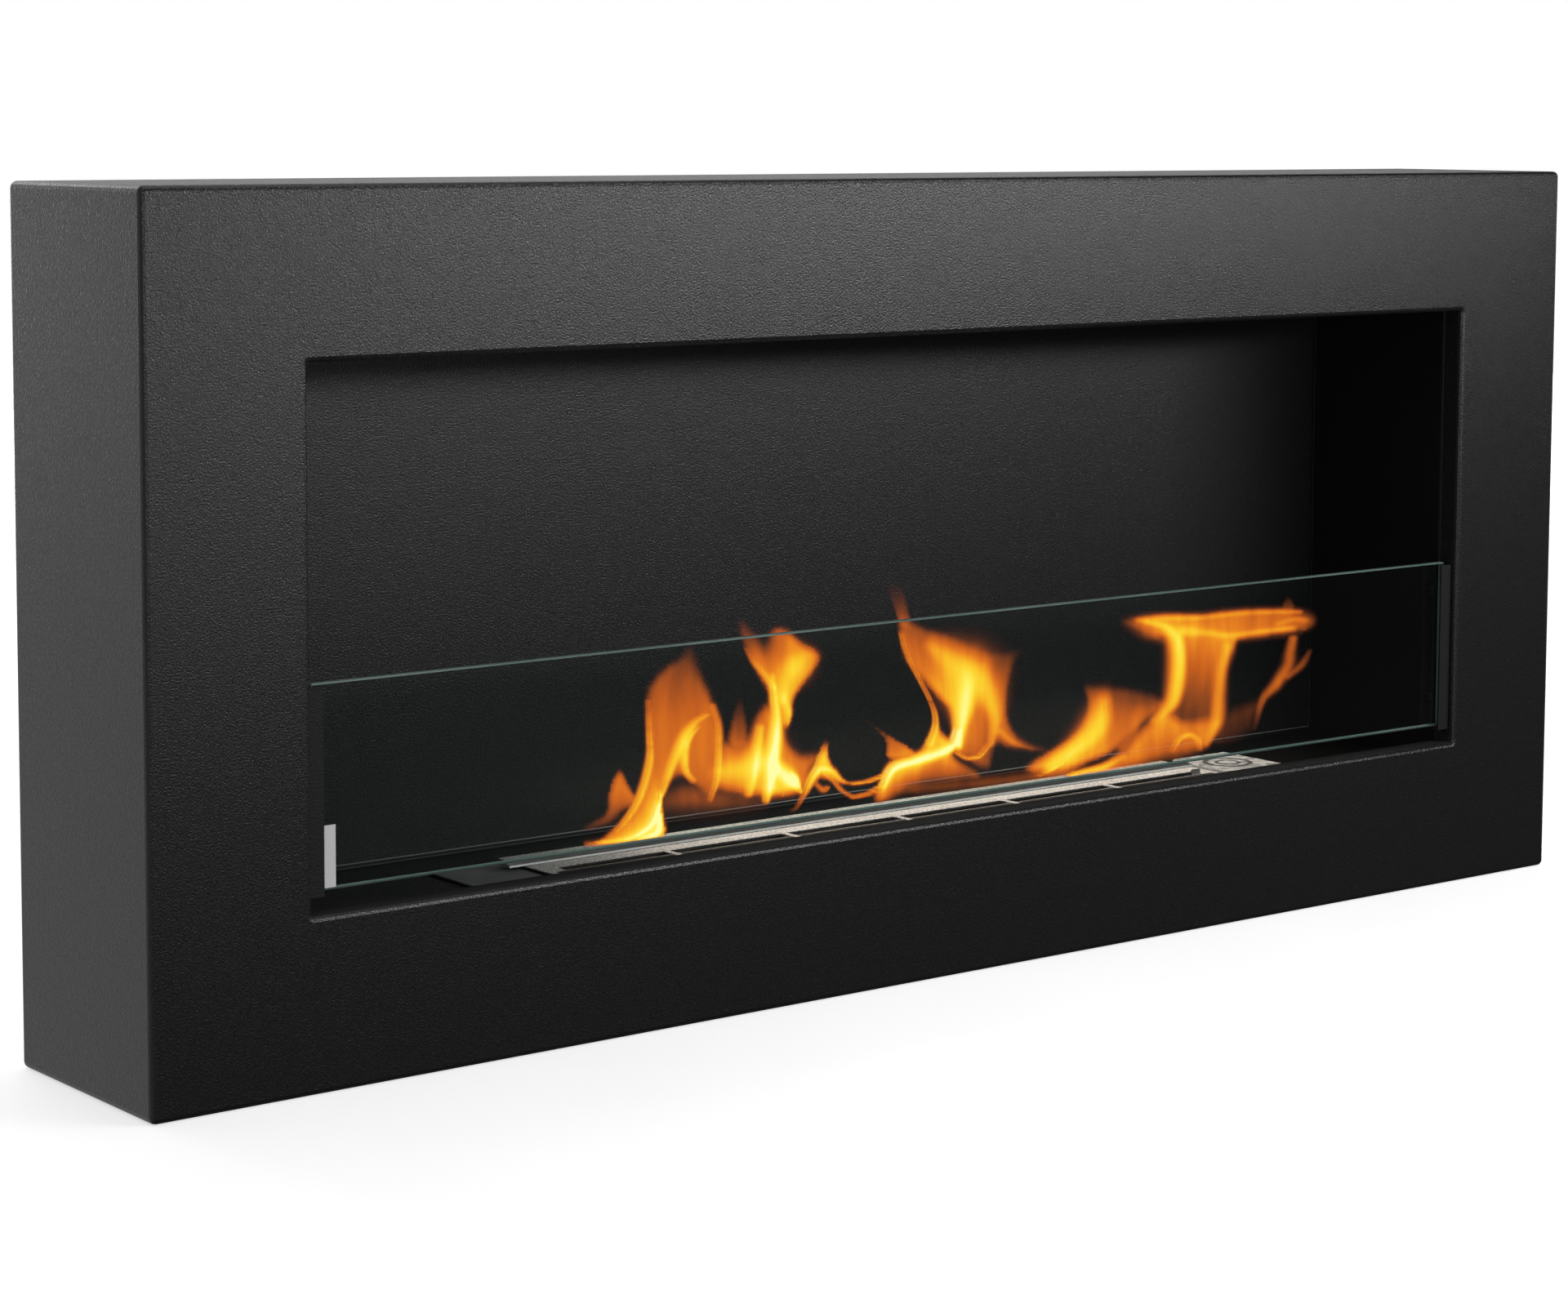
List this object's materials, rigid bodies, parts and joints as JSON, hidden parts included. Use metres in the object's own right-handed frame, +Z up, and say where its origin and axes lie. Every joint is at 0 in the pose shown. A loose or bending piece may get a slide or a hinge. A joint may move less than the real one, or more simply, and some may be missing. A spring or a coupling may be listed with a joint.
{
  "type": "wall-mounted bio-ethanol fireplace",
  "caption": "Long black wall fireplace with a glass-fronted open firebox and a steel fuel burner with a lift-out tank and a snuffer slide.",
  "frame": {"origin": "centre of the footprint, at the height of the underside", "axes": "+X to the right seen from the front, +Y from the front to the wall, +Z up"},
  "size_m": [0.9, 0.125, 0.4],
  "materials": {
    "casing_paint": "fine-textured black powder coat",
    "firebox_paint": "matte heat-resistant black paint",
    "stainless": "stainless steel, satin",
    "burner_steel": "stainless steel with a fine bead-blasted grain",
    "dark_plate": "matte dark grey paint",
    "bright_plate": "galvanised sheet with a pressed ring",
    "zinc": "zinc plated",
    "glass": "clear toughened glass, ground edges",
    "label": "blank paper label",
    "rubber": "matte black",
    "fibre": "rough white ceramic fibre",
    "insulation": "mineral fibre board"
  },
  "bodies": {
    "casing": {"front_casing": "casing_paint", "back_cover": "casing_paint", "left_keyhole_plate": "zinc", "right_keyhole_plate": "zinc", "back_screw_1": "zinc", "back_screw_2": "zinc", "back_screw_3": "zinc", "back_screw_4": "zinc", "back_screw_5": "zinc", "back_screw_6": "zinc", "back_screw_7": "zinc", "back_screw_8": "zinc", "back_screw_9": "zinc", "back_screw_10": "zinc", "lower_left_spacer": "rubber", "lower_right_spacer": "rubber", "upper_left_spacer": "rubber", "upper_right_spacer": "rubber", "firebox_back_panel": "firebox_paint", "firebox_left_wall": "firebox_paint", "firebox_right_wall": "firebox_paint", "firebox_roof": "firebox_paint", "firebox_floor": "firebox_paint", "left_floor_support": "zinc", "right_floor_support": "zinc", "left_floor_cover": "dark_plate", "right_floor_cover": "bright_plate", "roof_insulation": "insulation", "heat_shield": "zinc", "left_glass_bracket": "firebox_paint", "right_glass_bracket": "firebox_paint", "left_bracket_lower_screw": "zinc", "left_bracket_upper_screw": "zinc", "right_bracket_lower_screw": "zinc", "right_bracket_upper_screw": "zinc", "left_bracket_shelf": "firebox_paint", "right_bracket_shelf": "firebox_paint", "left_pane_pad": "rubber", "right_pane_pad": "rubber"},
    "pane": {"glass_pane": "glass", "pane_label": "label"},
    "burner": {"burner_tank": "stainless", "ceramic_fibre": "fibre", "burner_top_plate": "burner_steel", "flame_guard": "burner_steel", "left_slide_guide": "stainless", "right_slide_guide": "stainless"},
    "snuffer": {"snuffer_slide": "stainless", "snuffer_tab": "stainless"}
  },
  "joints": [
    {"name": "pane_lift", "type": "slide", "parent": "casing", "child": "pane", "axis": [0, 0, 1], "range_m": [0, 0.1]},
    {"name": "burner_lift", "type": "slide", "parent": "casing", "child": "burner", "axis": [0, 0, 1], "range_m": [0, 0.058]},
    {"name": "snuffer_travel", "type": "slide", "parent": "burner", "child": "snuffer", "axis": [0, 1, 0], "range_m": [0, 0.0065]}
  ]
}
